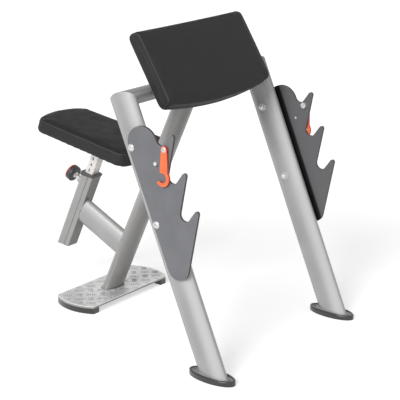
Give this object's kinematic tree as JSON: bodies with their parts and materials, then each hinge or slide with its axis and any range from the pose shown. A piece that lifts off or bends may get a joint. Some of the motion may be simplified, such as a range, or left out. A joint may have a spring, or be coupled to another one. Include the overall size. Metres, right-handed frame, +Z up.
{
  "type": "preacher bench",
  "caption": "Seated preacher curl bench: a splayed oval-tube frame with a sloping arm pad, notched bar racks, swinging bar hooks and a height-adjustable seat.",
  "frame": {"origin": "on the floor, at the centre of the outline's bounding box", "axes": "+X to the left of the person on the seat, +Y to the rear where the seat is, -Y to the front where the bar racks and the two rubber-booted feet are, +Z up"},
  "size_m": [0.7654, 1.0974, 1.045],
  "materials": {
    "frame_paint": "satin silver powder coat",
    "plate_paint": "satin silver powder coat",
    "rack_paint": "fine textured mid-grey powder coat",
    "hook_paint": "satin orange-red powder coat",
    "black_vinyl": "soft black vinyl with a low sheen",
    "plywood": "bare plywood",
    "foot_rubber": "smooth black rubber",
    "tread_aluminium": "bright aluminium with a raised bar pattern",
    "zinc_steel": "bright zinc plate",
    "bolt_steel": "zinc-plated fastener",
    "black_plastic": "matte black plastic",
    "knob_cap_red": "smooth orange-red plastic"
  },
  "bodies": {
    "frame": {"left_leg_tube": "frame_paint", "right_leg_tube": "frame_paint", "cross_tube": "frame_paint", "column_tube": "frame_paint", "brace_tube": "frame_paint", "left_boot": "foot_rubber", "right_boot": "foot_rubber", "left_foot_plate": "plate_paint", "right_foot_plate": "plate_paint", "base_plate": "plate_paint", "tread_plate": "tread_aluminium", "left_base_rubber": "foot_rubber", "right_base_rubber": "foot_rubber", "base_rubber_screws": "zinc_steel", "guide_tube": "frame_paint", "guide_lower_bush": "black_plastic", "guide_collar": "black_plastic", "pin_housing": "frame_paint", "pin_barrel": "zinc_steel", "pin_spring": "zinc_steel", "arm_pad_board": "plywood", "arm_pad_cushion": "black_vinyl", "arm_pad_screws": "zinc_steel", "arm_pad_tee_nuts": "zinc_steel", "left_pad_bracket": "frame_paint", "right_pad_bracket": "frame_paint", "left_rack_plate": "rack_paint", "right_rack_plate": "rack_paint", "rack_bolts": "bolt_steel", "rack_bolt_washers": "bolt_steel", "rack_bolt_sleeves": "zinc_steel", "rack_dome_nuts": "bolt_steel", "hook_pivot_bolts": "bolt_steel", "hook_spacers": "black_plastic", "hook_pivot_nuts": "bolt_steel", "hook_stop_pins": "bolt_steel"},
    "seat": {"seat_post": "zinc_steel", "seat_post_end_cap": "black_plastic", "seat_plate": "zinc_steel", "seat_board": "plywood", "seat_cushion": "black_vinyl", "seat_screws": "zinc_steel", "seat_tee_nuts": "zinc_steel"},
    "pull_pin": {"pull_pin_plunger": "zinc_steel", "pull_pin_knob": "black_plastic", "pull_pin_knob_cap": "knob_cap_red"},
    "left_bar_hook": {"left_hook": "hook_paint"},
    "right_bar_hook": {"right_hook": "hook_paint"}
  },
  "joints": [
    {"name": "seat_height_slide", "type": "slide", "parent": "frame", "child": "seat", "axis": [0, -0.4223, 0.9065], "range_m": [-0.075, 0.05]},
    {"name": "pull_pin_slide", "type": "slide", "parent": "frame", "child": "pull_pin", "axis": [0, 0.9065, 0.4223], "range_m": [-0.01, 0]},
    {"name": "left_hook_swing", "type": "hinge", "parent": "frame", "child": "left_bar_hook", "pos_m": [0.3756, -0.30526, 0.72284], "axis": [1, 0, 0], "range_deg": [-305, 13]},
    {"name": "right_hook_swing", "type": "hinge", "parent": "frame", "child": "right_bar_hook", "pos_m": [-0.3756, -0.30526, 0.72284], "axis": [1, 0, 0], "range_deg": [-305, 13]}
  ]
}
